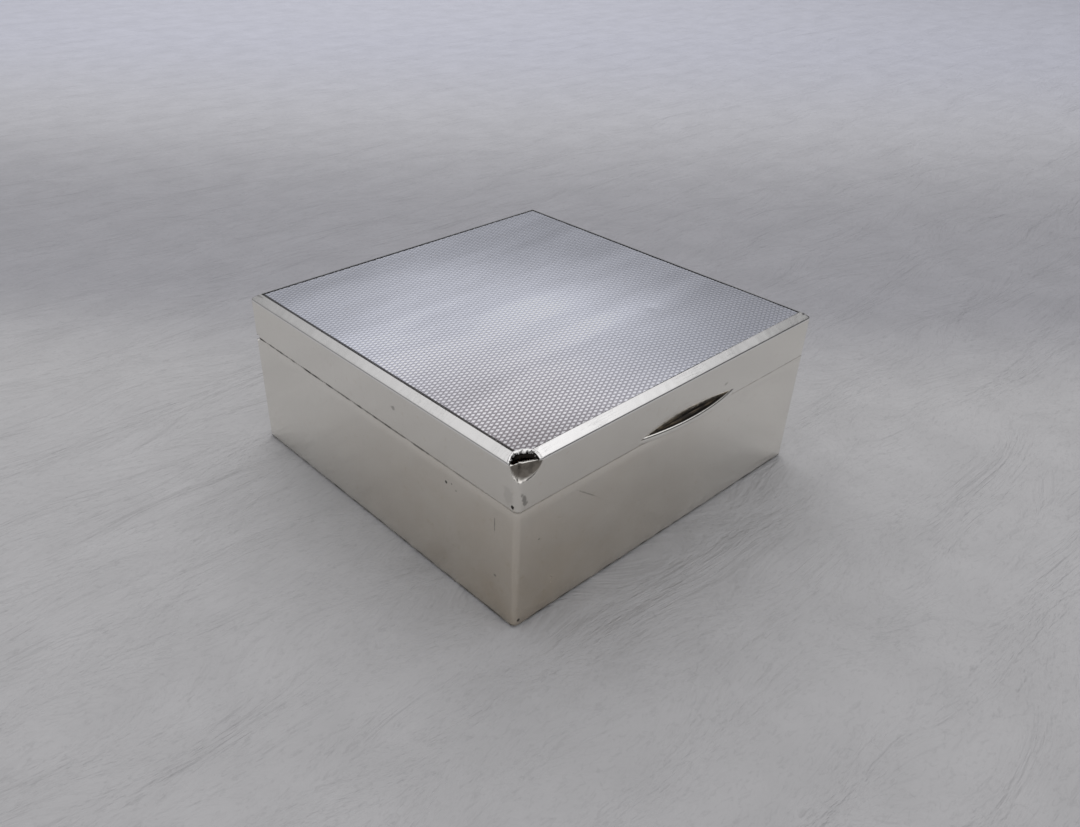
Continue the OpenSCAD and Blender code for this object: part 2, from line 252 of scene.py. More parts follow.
class Nodes:
    """Short ways to add and join nodes of one tree."""

    def __init__(self, tree):
        self.tree = tree
        tree.nodes.clear()

    def add(self, kind, values=None, **settings):
        node = self.tree.nodes.new(kind)
        for name, value in settings.items():
            setattr(node, name, value)
        for name, value in (values or {}).items():
            self.put(node.inputs[name], value)
        return node

    def put(self, socket, value):
        if isinstance(value, bpy.types.NodeSocket):
            self.tree.links.new(value, socket)
        elif hasattr(value, "__len__") and len(value) == 3 and socket.type == "RGBA":
            socket.default_value = (*value, 1)
        else:
            socket.default_value = value

    def maths(self, operation, a, b=0.0, clamp=False):
        node = self.add("ShaderNodeMath", {0: a, 1: b}, operation=operation, use_clamp=clamp)
        return node.outputs[0]

    def mix(self, mask, a, b, blend="MIX"):
        node = self.tree.nodes.new("ShaderNodeMix")
        node.data_type = "RGBA"
        node.blend_type = blend
        self.put(node.inputs["Factor"], mask)
        self.put(node.inputs[6], a)
        self.put(node.inputs[7], b)
        return node.outputs[2]

    def ramp(self, value, low, high, to_low=0.0, to_high=1.0):
        node = self.add(
            "ShaderNodeMapRange",
            {0: value, 1: low, 2: high, 3: to_low, 4: to_high},
            interpolation_type="SMOOTHSTEP",
        )
        return node.outputs[0]

    def noise(self, where, scale, detail=3.0, roughness=0.5, distortion=0.0):
        node = self.add(
            "ShaderNodeTexNoise",
            {"Vector": where, "Scale": scale, "Detail": detail, "Roughness": roughness,
             "Distortion": distortion},
        )
        return node.outputs["Fac"]

    def stretched(self, where, scale, turn=(0, 0, 0)):
        node = self.add("ShaderNodeMapping", {"Vector": where, "Scale": scale, "Rotation": turn})
        return node.outputs["Vector"]

    def position(self):
        return self.add("ShaderNodeTexCoord").outputs["Object"]

    def distance(self, where, place):
        node = self.add("ShaderNodeVectorMath", {0: where, 1: place}, operation="DISTANCE")
        return node.outputs["Value"]

    def grey(self, value):
        return self.add("ShaderNodeCombineColor", {0: value, 1: value, 2: value}).outputs[0]

    def bump(self, height, depth_mm, normal=None):
        values = {"Height": height, "Distance": depth_mm * MM}
        if normal is not None:
            values["Normal"] = normal
        return self.add("ShaderNodeBump", values).outputs[0]

    def use(self, tree, values=None):
        node = self.tree.nodes.new("ShaderNodeGroup")
        node.node_tree = tree
        for name, value in (values or {}).items():
            self.put(node.inputs[name], value)
        return node.outputs


def new_group(name, inputs, outputs):
    """An effect shared by several materials, with its sockets named and given defaults."""
    tree = bpy.data.node_groups.new(name, "ShaderNodeTree")
    kinds = {3: "NodeSocketVector", 1: "NodeSocketFloat"}
    for label, default in inputs.items():
        vector = hasattr(default, "__len__")
        socket = tree.interface.new_socket(label, in_out="INPUT", socket_type=kinds[3 if vector else 1])
        socket.default_value = default
    for label in outputs:
        tree.interface.new_socket(label, in_out="OUTPUT", socket_type="NodeSocketFloat")
    nodes = Nodes(tree)
    return tree, nodes, nodes.add("NodeGroupInput").outputs


def new_material(name):
    material = bpy.data.materials.new(name)
    material.use_nodes = True
    nodes = Nodes(material.node_tree)
    shader = nodes.add("ShaderNodeBsdfPrincipled")
    output = nodes.add("ShaderNodeOutputMaterial", {"Surface": shader.outputs["BSDF"]})
    return material, nodes, shader


def soften(piece, radius):
    """Rounds the sharp edges of a CAD piece a little, as worn ones are."""
    weld = piece.modifiers.new("joined corners", "WELD")
    weld.merge_threshold = 0.001 * MM
    bevel = piece.modifiers.new("worn edges", "BEVEL")
    bevel.width = radius
    bevel.segments = 2
    bevel.limit_method = "ANGLE"
    bevel.angle_limit = math.radians(35)
    bevel.harden_normals = True


def finish_with(material, *names):
    """Gives CAD nodes a new finish in their own material slot."""
    for name in names:
        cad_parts[name].data.materials[0] = material


def lit_world(settings):
    """Even light for matt faces, and a studio with a dark side for what mirrors it."""
    world = bpy.data.worlds.new("studio")
    world.use_nodes = True
    bpy.context.scene.world = world
    nodes = Nodes(world.node_tree)
    where = nodes.add("ShaderNodeTexCoord").outputs["Generated"]
    axes = nodes.add("ShaderNodeSeparateXYZ", {0: where})
    height = axes.outputs["Z"]
    behind = nodes.maths("ADD", nodes.maths("MULTIPLY", axes.outputs["X"], 0.66),
                         nodes.maths("MULTIPLY", axes.outputs["Y"], 0.75))
    flat = nodes.maths("SQRT", nodes.maths("SUBTRACT", 1.0, nodes.maths("MULTIPLY", height, height)))
    facing = nodes.maths("DIVIDE", behind, nodes.maths("MAXIMUM", flat, 0.05))
    to_side = nodes.maths("ADD", nodes.maths("MULTIPLY", axes.outputs["X"], 0.78),
                          nodes.maths("MULTIPLY", axes.outputs["Y"], -0.62))
    window = nodes.maths("MULTIPLY", nodes.ramp(height, 0.28, 0.48), nodes.ramp(facing, 0.80, 0.99))
    dark_side = nodes.maths("MULTIPLY", nodes.ramp(to_side, 0.1, 0.6), nodes.ramp(height, 0.08, 0.2))
    level = nodes.mix(dark_side, (settings.horizon,) * 3, (settings.gloom,) * 3)
    level = nodes.mix(window, level, (settings.window,) * 3)
    above = nodes.mix(nodes.ramp(to_side, -0.5, 0.4), (settings.overhead_left,) * 3, (settings.overhead,) * 3)
    level = nodes.mix(nodes.ramp(height, 0.45, 0.8), level, above)
    seen = nodes.mix(1.0, level, tuple(settings.sky), "MULTIPLY")
    plain = nodes.add("ShaderNodeBackground", {"Color": tuple(settings.sky), "Strength": settings.plain_light})
    mirrored = nodes.add("ShaderNodeBackground", {"Color": seen, "Strength": 1.0})
    rays = nodes.add("ShaderNodeLightPath").outputs
    sharp = nodes.maths("ADD", rays["Is Camera Ray"], rays["Is Glossy Ray"], clamp=True)
    sharp = nodes.maths("ADD", sharp, rays["Is Transmission Ray"], clamp=True)
    choice = nodes.add(
        "ShaderNodeMixShader", {0: sharp, 1: plain.outputs[0], 2: mirrored.outputs[0]}
    )
    nodes.add("ShaderNodeOutputWorld", {"Surface": choice.outputs[0]})


def paper_floor(settings):
    """A wide sheet of pale paper with a soft mottle, specks and faint creases, painted shade just behind the box and
    painted light further back.
    """
    material, nodes, shader = new_material("floor_paper")
    where = nodes.position()
    axes = nodes.add("ShaderNodeSeparateXYZ", {0: where})
    behind = nodes.maths("MULTIPLY", nodes.maths("ADD", axes.outputs["X"], axes.outputs["Y"]), 0.707)
    # Painted shade in a band just behind the box, then painted light further back
    painted_shade_band = nodes.maths("MULTIPLY", nodes.ramp(behind, 0.02, 0.09), nodes.ramp(behind, 0.33, 0.14))
    tone = nodes.mix(painted_shade_band, tuple(settings.floor_near), tuple(settings.floor_painted_shade))
    tone = nodes.mix(nodes.ramp(behind, 0.14, 0.5), tone, tuple(settings.floor_far_painted_light))
    mottle = nodes.ramp(nodes.noise(where, 60, 5, 0.6), 0.3, 0.7, 0.955, 1.03)
    tone = nodes.mix(1.0, tone, nodes.grey(mottle), "MULTIPLY")
    fibres = nodes.noise(nodes.stretched(where, (1, 2.2, 1), (0, 0, 0.9)), 420, 4, 0.7, 1.2)
    tone = nodes.mix(1.0, tone, nodes.grey(nodes.ramp(fibres, 0.3, 0.5, 0.90, 1.0)), "MULTIPLY")
    nodes.put(shader.inputs["Base Color"], tone)
    shader.inputs["Roughness"].default_value = 0.9
    creases = nodes.noise(nodes.stretched(where, (1, 3, 1), (0, 0, 0.5)), 24, 5, 0.65, 0.9)
    nodes.put(shader.inputs["Normal"], nodes.bump(creases, 2.0))
    half = settings.floor_size
    mesh = bpy.data.meshes.new("floor")
    mesh.from_pydata([(-half, -half, 0), (half, -half, 0), (half, half, 0), (-half, half, 0)], [], [(0, 1, 2, 3)])
    floor = bpy.data.objects.new("floor", mesh)
    mesh.materials.append(material)
    bpy.context.scene.collection.objects.link(floor)


def soft_lamp(name, place, aim, size, power, tint):
    data = bpy.data.lights.new(name, "AREA")
    data.shape = "SQUARE"
    data.size = size
    data.energy = power
    data.color = tint
    lamp = bpy.data.objects.new(name, data)
    lamp.location = place
    lamp.rotation_euler = (Vector(aim) - Vector(place)).to_track_quat("-Z", "Y").to_euler()
    bpy.context.scene.collection.objects.link(lamp)
    return lamp


def tarnish_and_dark_reflection_group():
    """A brown film that is thickest round one place and broken up into clouds: tarnish, whose thickening round the
    worst place is painted dark reflection.
    """
    tree, nodes, given = new_group(
        "tarnish_and_dark_reflection",
        {"Position": (0, 0, 0), "Worst place": (-42 * MM, -42 * MM, 4 * MM), "Reach": 65 * MM, "Least": 0.08,
         "Most": 0.8},
        ["Mask"],
    )
    away = nodes.add(
        "ShaderNodeVectorMath", {0: given["Position"], 1: given["Worst place"]}, operation="SUBTRACT"
    ).outputs[0]
    away = nodes.stretched(away, (1, 1, 1.5))
    distance = nodes.add("ShaderNodeVectorMath", {0: away}, operation="LENGTH").outputs["Value"]
    spread = nodes.add(
        "ShaderNodeMapRange", {0: distance, 1: 4 * MM, 2: given["Reach"], 3: given["Most"], 4: given["Least"]}
    ).outputs[0]
    clouds = nodes.ramp(nodes.noise(given["Position"], 70, 5, 0.6, 0.4), 0.3, 0.7, 0.82, 1.12)
    specks = nodes.ramp(nodes.noise(given["Position"], 900, 2, 0.5), 0.62, 0.75, 0.0, 0.12)
    mask = nodes.maths("ADD", nodes.maths("MULTIPLY", spread, clouds), specks, clamp=True)
    nodes.add("NodeGroupOutput", {"Mask": mask})
    return tree


def hairline_group():
    """Fine scratches from years of polishing, in three directions."""
    tree, nodes, given = new_group("hairlines", {"Position": (0, 0, 0), "Amount": 0.5}, ["Height", "Mask"])
    lines = None
    for turn, scale in (((0.3, 0.5, 0.2), 60), ((1.1, 0.2, 1.9), 80), ((0.7, 1.4, 2.9), 45)):
        field = nodes.noise(nodes.stretched(given["Position"], (1, 14, 3), turn), scale, 2, 0.5, 0.2)
        line = nodes.ramp(nodes.maths("ABSOLUTE", nodes.maths("SUBTRACT", field, 0.5)), 0.0, 0.006, 1.0, 0.0)
        lines = line if lines is None else nodes.maths("MAXIMUM", lines, line)
    patches = nodes.ramp(nodes.noise(given["Position"], 120, 2), 0.42, 0.62)
    mask = nodes.maths("MULTIPLY", nodes.maths("MULTIPLY", lines, patches), given["Amount"])
    nodes.add("NodeGroupOutput", {"Height": nodes.maths("SUBTRACT", 1.0, mask), "Mask": mask})
    return tree


def pit_group():
    """A few small pits and knocks."""
    tree, nodes, given = new_group("pits", {"Position": (0, 0, 0), "Spacing": 110.0}, ["Mask"])
    cells = nodes.add(
        "ShaderNodeTexVoronoi", {"Vector": given["Position"], "Scale": given["Spacing"]}, feature="F1"
    )
    chosen = nodes.add("ShaderNodeSeparateColor", {0: cells.outputs["Color"]}).outputs
    size = nodes.ramp(chosen[1], 0.0, 1.0, 0.03, 0.07)
    round_pit = nodes.maths("LESS_THAN", cells.outputs["Distance"], size)
    picked = nodes.maths("GREATER_THAN", chosen[0], 0.86)
    nodes.add("NodeGroupOutput", {"Mask": nodes.maths("MULTIPLY", round_pit, picked)})
    return tree


def painted_shade_line_group():
    """Painted shade along a straight joint: all within the width, none beyond, with gaps in it."""
    tree, nodes, given = new_group(
        "painted_shade_line", {"Position": (0, 0, 0), "Along": 0.0, "Place": 0.0, "Width": 0.2 * MM}, ["Mask"]
    )
    away = nodes.maths("ABSOLUTE", nodes.maths("SUBTRACT", given["Along"], given["Place"]))
    near = nodes.maths("DIVIDE", away, given["Width"])
    broken = nodes.ramp(nodes.noise(given["Position"], 260, 3, 0.6), 0.35, 0.65, 0.15, 1.0)
    mask = nodes.maths("MULTIPLY", nodes.ramp(near, 0.3, 1.0, 1.0, 0.0), broken)
    nodes.add("NodeGroupOutput", {"Mask": mask})
    return tree


def spot_group():
    """One mark of a given size at a given place, with a ragged soft edge."""
    tree, nodes, given = new_group(
        "spot", {"Position": (0, 0, 0), "Centre": (0, 0, 0), "Half size": (MM, MM, MM), "Turn": (0, 0, 0)}, ["Mask"]
    )
    away = nodes.add(
        "ShaderNodeVectorMath", {0: given["Position"], 1: given["Centre"]}, operation="SUBTRACT"
    ).outputs[0]
    away = nodes.add("ShaderNodeMapping", {"Vector": away, "Rotation": given["Turn"]}).outputs[0]
    away = nodes.add("ShaderNodeVectorMath", {0: away, 1: given["Half size"]}, operation="DIVIDE").outputs[0]
    length_away = nodes.add("ShaderNodeVectorMath", {0: away}, operation="LENGTH").outputs["Value"]
    ragged = nodes.ramp(nodes.noise(given["Position"], 1500, 3, 0.6), 0.3, 0.7, -0.25, 0.25)
    mask = nodes.ramp(nodes.maths("ADD", length_away, ragged), 0.55, 1.0, 1.0, 0.0)
    nodes.add("NodeGroupOutput", {"Mask": mask})
    return tree


# Marks on the walls as (centre and half size in mm, turn in degrees, strength)
BASE_MARKS = (
    ((-42.5, -24, 23), (1, 0.4, 0.35), (0, 0, 0), 0.9),
    ((-42.5, -25.5, 23.4), (1, 0.2, 0.2), (0, 0, 0), 0.7),
    ((-42.5, -26.7, 22.5), (1, 0.25, 0.15), (0, 0, 0), 0.6),
    ((-42.5, -37, 21), (1, 0.14, 2.1), (0, 0, 0), 0.5),
    ((-42.5, -37.3, 9.7), (1, 0.35, 0.3), (0, 0, 0), 0.5),
    ((-25, -42.5, 22.2), (3.8, 1, 0.16), (0, -36.9, 0), 0.35),
    ((-37, -42.5, 18.3), (0.3, 1, 0.22), (0, 0, 0), 0.6),
    ((-41.4, -42.5, 1.7), (0.4, 1, 0.35), (0, 0, 0), 0.95),
)
LID_MARKS = (
    ((-42.5, -8.7, 31.5), (1, 0.8, 0.5), (0, 0, 0), 0.4),
    ((14, -42.5, 30), (0.7, 1, 0.35), (0, 0, 0), 0.3),
    ((-42.5, -41.3, 27.4), (0.6, 0.4, 0.5), (0, 0, 0), 1.0),
    ((-40.9, -42.5, 28.7), (0.65, 1, 1.8), (0, 18, 0), 0.5),
    ((-42.5, -40.2, 29.2), (0.6, 1.4, 2.4), (0, 0, 0), 0.12),
)


def marked(nodes, where, effects, tone, marks, stain):
    """A tone with each listed mark stained into it."""
    for centre, half_size, turn, strength in marks:
        mask = nodes.use(
            effects["spot"],
            {"Position": where, "Centre": Vector(centre) * MM, "Half size": Vector(half_size) * MM,
             "Turn": [math.radians(angle) for angle in turn]},
        )["Mask"]
        tone = nodes.mix(nodes.maths("MULTIPLY", mask, strength), tone, stain)
    return tone


def silver_material(name, settings, effects, least=0.05, most=0.56, marks=()):
    """Worn sheet silver with a brown film, hairlines and pits, painted shade along the seam and the foot, and a dark
    dull crushed corner with painted shade round its hole.
    """
    material, nodes, shader = new_material(name)
    where = nodes.position()
    axes = nodes.add("ShaderNodeSeparateXYZ", {0: where}).outputs
    height = axes["Z"]
    film_and_dark_reflection = nodes.use(effects["tarnish_and_dark_reflection"], {"Position": where, "Least": least, "Most": most})["Mask"]
    lines = nodes.use(effects["hairlines"], {"Position": where})
    pits = nodes.use(effects["pits"], {"Position": where})["Mask"]
    # Painted shade: dark lines along the seam between lid and base, stronger towards the back, and along the foot of
    # the plates
    seam_shade = nodes.use(
        effects["painted_shade_line"],
        {"Position": where, "Along": height, "Place": BASE_HIGH.z, "Width": 0.35 * MM},
    )["Mask"]
    seam_shade = nodes.maths("MULTIPLY", seam_shade, nodes.ramp(axes["Y"], -41 * MM, -2 * MM, 0.2, 1.0))
    foot = nodes.use(
        effects["painted_shade_line"],
        {"Position": where, "Along": height, "Place": BASE_LOW.z, "Width": 0.5 * MM},
    )["Mask"]
    # Brown film of tarnish; its thickening towards the front bottom corner is painted dark reflection
    tone = nodes.mix(film_and_dark_reflection, tuple(settings.clean), tuple(settings.film_and_reflection_brown))
    tone = nodes.mix(nodes.maths("MULTIPLY", lines["Mask"], 0.25), tone, (0.5, 0.48, 0.44))
    darkening = nodes.maths("MAXIMUM", nodes.maths("MAXIMUM", seam_shade, foot), nodes.maths("MULTIPLY", pits, 0.7))
    tone = nodes.mix(nodes.maths("MULTIPLY", darkening, 0.9), tone, tuple(settings.grime_and_shade))
    tone = marked(nodes, where, effects, tone, marks, tuple(settings.grime_and_shade))
    # The crushed corner is coloured dark brown and dull; round the hole it turns a flat very dark brown, painted
    # shade
    dented = nodes.add("ShaderNodeAttribute", attribute_name="darkening").outputs["Fac"]
    blotches = nodes.ramp(nodes.noise(where, 900, 3, 0.6), 0.36, 0.6)
    dark_dent_tone = nodes.mix(blotches, (0.05, 0.038, 0.026), (0.105, 0.088, 0.068))
    void_shade_falloff = nodes.ramp(nodes.distance(where, (0.9 * MM - HALF, 2.6 * MM - HALF, TOP - 3 * MM)), 0.5 * MM, 2.2 * MM)
    dark_dent_tone = nodes.mix(void_shade_falloff, (0.07, 0.055, 0.04), dark_dent_tone)
    tone = nodes.mix(nodes.maths("MULTIPLY", dented, 0.92), tone, dark_dent_tone)
    nodes.put(shader.inputs["Metallic"], nodes.ramp(dented, 0.2, 1.0, 1.0, 0.05))
    nodes.put(shader.inputs["Base Color"], tone)
    cloudy = nodes.ramp(nodes.noise(where, 140, 4, 0.6), 0.3, 0.7, 0.75, 1.3)
    rough = nodes.maths("MULTIPLY", cloudy, settings.polish)
    rough = nodes.maths("ADD", rough, nodes.maths("MULTIPLY", film_and_dark_reflection, 0.12))
    dull = nodes.maths("MULTIPLY", nodes.maths("MAXIMUM", darkening, nodes.maths("MULTIPLY", dented, 1.8)), 0.4)
    nodes.put(shader.inputs["Roughness"], nodes.maths("ADD", rough, dull, clamp=True))
    beaten = nodes.bump(nodes.noise(where, 90, 3, 0.5), 0.12)
    scored = nodes.bump(lines["Height"], 0.01, beaten)
    nodes.put(shader.inputs["Normal"], nodes.bump(nodes.maths("SUBTRACT", 1.0, pits), 0.05, scored))
    return material, nodes, shader, tone


def border_material(settings, effects):
    """The border's silver, darkened black and grey in the groove round the panel, with painted shade black round the
    hole at the broken corner.
    """
    material, nodes, shader, tone = silver_material("border_silver", settings, effects, least=0.02, most=0.25)
    tone = nodes.mix(0.6, tone, (0.97, 0.965, 0.955))
    # The groove mark darkens the groove round the panel, black on the left side and grey-blue elsewhere, and is
    # painted shade on the torn rim's underside and round the hole
    groove = nodes.add("ShaderNodeAttribute", attribute_name="groove").outputs["Fac"]
    across = nodes.add("ShaderNodeSeparateXYZ", {0: nodes.position()}).outputs["X"]
    polish = nodes.mix(nodes.ramp(across, -37 * MM, -35 * MM), tuple(settings.grime_and_shade), (0.17, 0.17, 0.20))
    nodes.put(shader.inputs["Base Color"], nodes.mix(nodes.ramp(groove, 0.0, 0.8), tone, polish))
    return material


def lip_material(settings, effects):
    """The thumb lip's silver, with painted shade black in its hollow."""
    material, nodes, shader, tone = silver_material("lip_silver", settings, effects, least=0.02, most=0.1)
    # Painted shade: the lip's hollow is coloured black with brown streaks
    hollow = nodes.add("ShaderNodeAttribute", attribute_name="hollow").outputs["Fac"]
    streaks = nodes.noise(nodes.stretched(nodes.position(), (1, 6, 6)), 300, 3, 0.6)
    hollow_painted_shade = nodes.mix(nodes.ramp(streaks, 0.45, 0.62), tuple(settings.grime_and_shade), (0.12, 0.095, 0.065))
    nodes.put(shader.inputs["Base Color"], nodes.mix(nodes.ramp(hollow, 0.3, 0.8), tone, hollow_painted_shade))
    return material


def turned_material(settings, effects):
    """Engine-turned silver: painted highlight on the grains' round tops and painted shade in the cut lines, worn
    smoother away from the broken corner, with painted broad reflections across the panel.
    """
    material, nodes, shader = new_material("worn_turned_silver")
    where = nodes.position()
    cut = nodes.add("ShaderNodeAttribute", attribute_name="cut").outputs["Fac"]
    # Painted highlight and shade: tops near white, slopes grey and cut bottoms dark, with the most contrast near the
    # broken corner and lighter, bluer tones far from it
    worn = nodes.ramp(nodes.distance(where, (-HALF, -HALF, TOP)), 4 * MM, 62 * MM)
    painted_highlight_tops = nodes.mix(worn, tuple(settings.turned), (0.91, 0.93, 1.0))
    slopes = nodes.mix(worn, (0.60, 0.565, 0.60), (0.84, 0.86, 0.95))
    deep = nodes.mix(worn, tuple(settings.cut), (0.66, 0.68, 0.76))
    tone = nodes.mix(nodes.ramp(cut, 0.08, 0.26), painted_highlight_tops, slopes)
    tone = nodes.mix(nodes.ramp(cut, 0.4, 0.9), tone, deep)
    # Painted broad reflections: lighter round the middle of the panel, darker towards its far corners, broken into
    # soft clouds
    clouds = nodes.noise(nodes.stretched(where, (0.3, 1.3, 1), (0, 0, -0.35)), 60, 4, 0.55, 0.3)
    level = nodes.ramp(nodes.distance(where, (-16 * MM, -9 * MM, TOP)), 14 * MM, 58 * MM, 1.06, 0.68)
    level = nodes.maths("MULTIPLY", level, nodes.ramp(clouds, 0.3, 0.7, 0.88, 1.08))
    tone = nodes.mix(1.0, tone, nodes.grey(level), "MULTIPLY")
    film_and_dark_reflection = nodes.use(effects["tarnish_and_dark_reflection"], {"Position": where, "Least": 0.0, "Most": 0.3})["Mask"]
    tone = nodes.mix(nodes.maths("MULTIPLY", film_and_dark_reflection, nodes.ramp(cut, 0.0, 0.6, 0.3, 1.0)), tone, tuple(settings.film_and_reflection_brown))
    across = nodes.add("ShaderNodeSeparateXYZ", {0: where}).outputs["X"]
    at_groove = nodes.ramp(across, -PANEL_HIGH.x + 0.4 * MM, -PANEL_HIGH.x + 0.6 * MM, 0.9, 0.0)
    tone = nodes.mix(at_groove, tone, tuple(settings.grime_and_shade))
    shader.inputs["Metallic"].default_value = 1.0
    nodes.put(shader.inputs["Base Color"], tone)
    nodes.put(shader.inputs["Roughness"], nodes.ramp(cut, 0.2, 0.9, 0.24, 0.45))
    scores = nodes.use(effects["hairlines"], {"Position": where, "Amount": 0.4})["Height"]
    nodes.put(shader.inputs["Normal"], nodes.bump(scores, 0.006))
    return material


def wood_material(name, light, dark, scale=1.0):
    """Straight-grained wood with fine pores, its grain along X."""
    material, nodes, shader = new_material(name)
    where = nodes.position()
    rings = nodes.add(
        "ShaderNodeTexWave",
        {"Vector": nodes.stretched(where, (0.06, 1, 1), (0.1, 0.05, 0.04)), "Scale": 170 * scale, "Distortion": 3.5,
         "Detail": 3.0, "Detail Scale": 0.7},
        bands_direction="Y",
    ).outputs["Fac"]
    pores = nodes.noise(nodes.stretched(where, (0.05, 1, 1)), 2600 * scale, 2, 0.6)
    shade_of = nodes.noise(nodes.stretched(where, (0.2, 1, 1)), 60, 3)
    soft_rings = nodes.maths("MULTIPLY", rings, 0.22)
    grain = nodes.maths("ADD", soft_rings, nodes.maths("MULTIPLY", shade_of, 0.8), clamp=True)
    tone = nodes.mix(grain, light, dark)
    holes = nodes.ramp(pores, 0.58, 0.72)
    nodes.put(shader.inputs["Base Color"], nodes.mix(nodes.maths("MULTIPLY", holes, 0.55), tone, dark))
    nodes.put(shader.inputs["Roughness"], nodes.ramp(grain, 0, 1, 0.5, 0.68))
    nodes.put(shader.inputs["Normal"], nodes.bump(nodes.maths("SUBTRACT", 1.0, holes), 0.03))
    return material


def leather_material(settings):
    """Thin grained leather."""
    material, nodes, shader = new_material("skiver_leather")
    where = nodes.position()
    cells = nodes.add("ShaderNodeTexVoronoi", {"Vector": where, "Scale": 1300.0}, feature="SMOOTH_F1").outputs["Distance"]
    folds = nodes.noise(where, 500, 4, 0.6)
    grain = nodes.maths("ADD", cells, folds)
    nodes.put(shader.inputs["Base Color"], nodes.mix(nodes.ramp(grain, 0.7, 1.3), tuple(settings.leather), (0.075, 0.066, 0.06)))
    nodes.put(shader.inputs["Roughness"], nodes.ramp(grain, 0.6, 1.3, 0.45, 0.7))
    nodes.put(shader.inputs["Normal"], nodes.bump(grain, 0.08))
    return material


def new_piece(name, vertices, faces, material, body, node, smooth_angle=30, marks=None):
    """A mesh piece that rides on a body and stands for a CAD node. marks are values at its points."""
    mesh = bpy.data.meshes.new(name)
    mesh.from_pydata(vertices, [], faces)
    for mark, values in (marks or {}).items():
        mesh.attributes.new(mark, "FLOAT", "POINT").data.foreach_set("value", values)
    tidy = bmesh.new()
    tidy.from_mesh(mesh)
    bmesh.ops.remove_doubles(tidy, verts=tidy.verts, dist=0.002 * MM)
    bmesh.ops.dissolve_degenerate(tidy, edges=tidy.edges, dist=0.001 * MM)
    bmesh.ops.recalc_face_normals(tidy, faces=tidy.faces)
    tidy.to_mesh(mesh)
    tidy.free()
    mesh.materials.append(material)
    shade(mesh, smooth_angle)
    piece = bpy.data.objects.new(name, mesh)
    bpy.context.scene.collection.objects.link(piece)
    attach(piece, body)
    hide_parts(node)
    return piece


def shade(mesh, angle):
    """Smooth shading, broken at edges sharper than the angle in degrees."""
    mesh.polygons.foreach_set("use_smooth", [True] * len(mesh.polygons))
    mesh.set_sharp_from_angle(angle=math.radians(angle))


def turned(point, turn):
    """A place on the front side, moved to another side of the box."""
    angle = math.radians(turn)
    return Vector((
        point.x * math.cos(angle) - point.y * math.sin(angle),
        point.x * math.sin(angle) + point.y * math.cos(angle),
        point.z,
    ))


def side_columns(sheet, fine_left, fine_right):
    """Places along one side as (x, turn of the rounded upright edge), from joint to joint."""
    arc = [math.radians(angle) for angle in (45, 37, 29, 21, 13, 6)]
    straight = HALF - sheet.corner
    fine_zone = 8 * MM
    columns = [(-straight, -turn) for turn in arc]
    x = -straight
    while x < straight - sheet.fine:
        columns.append((x, 0))
        to_left = x + straight if fine_left else math.inf
        to_right = straight - x if fine_right else math.inf
        near = min(to_left, to_right - sheet.coarse)
        step = sheet.fine if near < fine_zone else min(sheet.coarse, sheet.fine + (near - fine_zone) * 0.4)
        if x + step > straight - sheet.fine:
            break
        x += step
    columns.append((straight, 0))
    columns += [(straight, turn) for turn in reversed(arc)]
    return columns


def on_side(sheet, column, depth, height):
    """The place at a column of the front side, at a depth in from the outer face."""
    x, bend = column
    reach = HALF - max(sheet.corner, depth)
    if bend == 0:
        return Vector((x * reach / (HALF - sheet.corner), depth - HALF, height))
    radius = max(sheet.corner - depth, 0)
    end = math.copysign(reach, bend)
    return Vector((end + radius * math.sin(bend), -reach - radius * math.cos(bend), height))


def wave(sheet, point):
    """How far hand-worked sheet lies behind the true face at a place."""
    spot = point / sheet.wave_length
    return sheet.wave * (0.5 + 0.5 * noise.noise(spot + Vector((3.1, 7.7, 1.3))))


def ring_faces(rings, per_ring, closed):
    """Quads between rings of points, each ring a closed section."""
    faces = []
    for i in range(rings if closed else rings - 1):
        a = i * per_ring
        b = (i + 1) % rings * per_ring
        for k in range(per_ring):
            n = (k + 1) % per_ring
            faces.append((a + k, a + n, b + n, b + k))
    if not closed:
        faces.append(tuple(range(per_ring)))
        faces.append(tuple(range((rings - 1) * per_ring, rings * per_ring)))
    return faces


def heights(low, high, steps, arris):
    """Heights up a plate's outer face, with its worn edges left out."""
    return [low + arris + (high - low - 2 * arris) * i / steps for i in range(steps + 1)]


def plate_section(low, high, steps, arris):
    """A plate's section as (depth, height), up the outer face and down the inner one."""
    lower = [(arris, low), (arris * 0.3, low + arris * 0.3)]
    upper = [(arris * 0.3, high - arris * 0.3), (arris, high)]
    face = [(0, z) for z in heights(low, high, steps, arris)]
    return lower + face + upper + [(PLATE, high), (PLATE, low)]


def side_plate(name, body, turn, low, high, steps, sheet, material, damage=None):
    """One silver side plate, mitred at both ends."""
    fine_left = damage is not None and turn == FRONT
    fine_right = damage is not None and turn == LEFT
    columns = side_columns(sheet, fine_left, fine_right)
    section = plate_section(low, high, steps, sheet.arris)
    points = []
    dirty = []
    for column in columns:
        for depth, height in section:
            face = turned(on_side(sheet, column, 0, height), turn)
            back = wave(sheet, face) if depth < PLATE else 0
            point = turned(on_side(sheet, column, depth + back, height), turn)
            darkening = 0
            if fine_left or fine_right:
                point += crushed(damage, face)
                darkening = (inside_dent(damage, corner_offset(face)) - 0.2) / 0.12 if height < high else 0
            points.append(point)
            dirty.append(min(1, max(0, darkening)))
    faces = ring_faces(len(columns), len(section), False)
    return new_piece(name + "_sheet", points, faces, material, body, name, marks={"darkening": dirty})


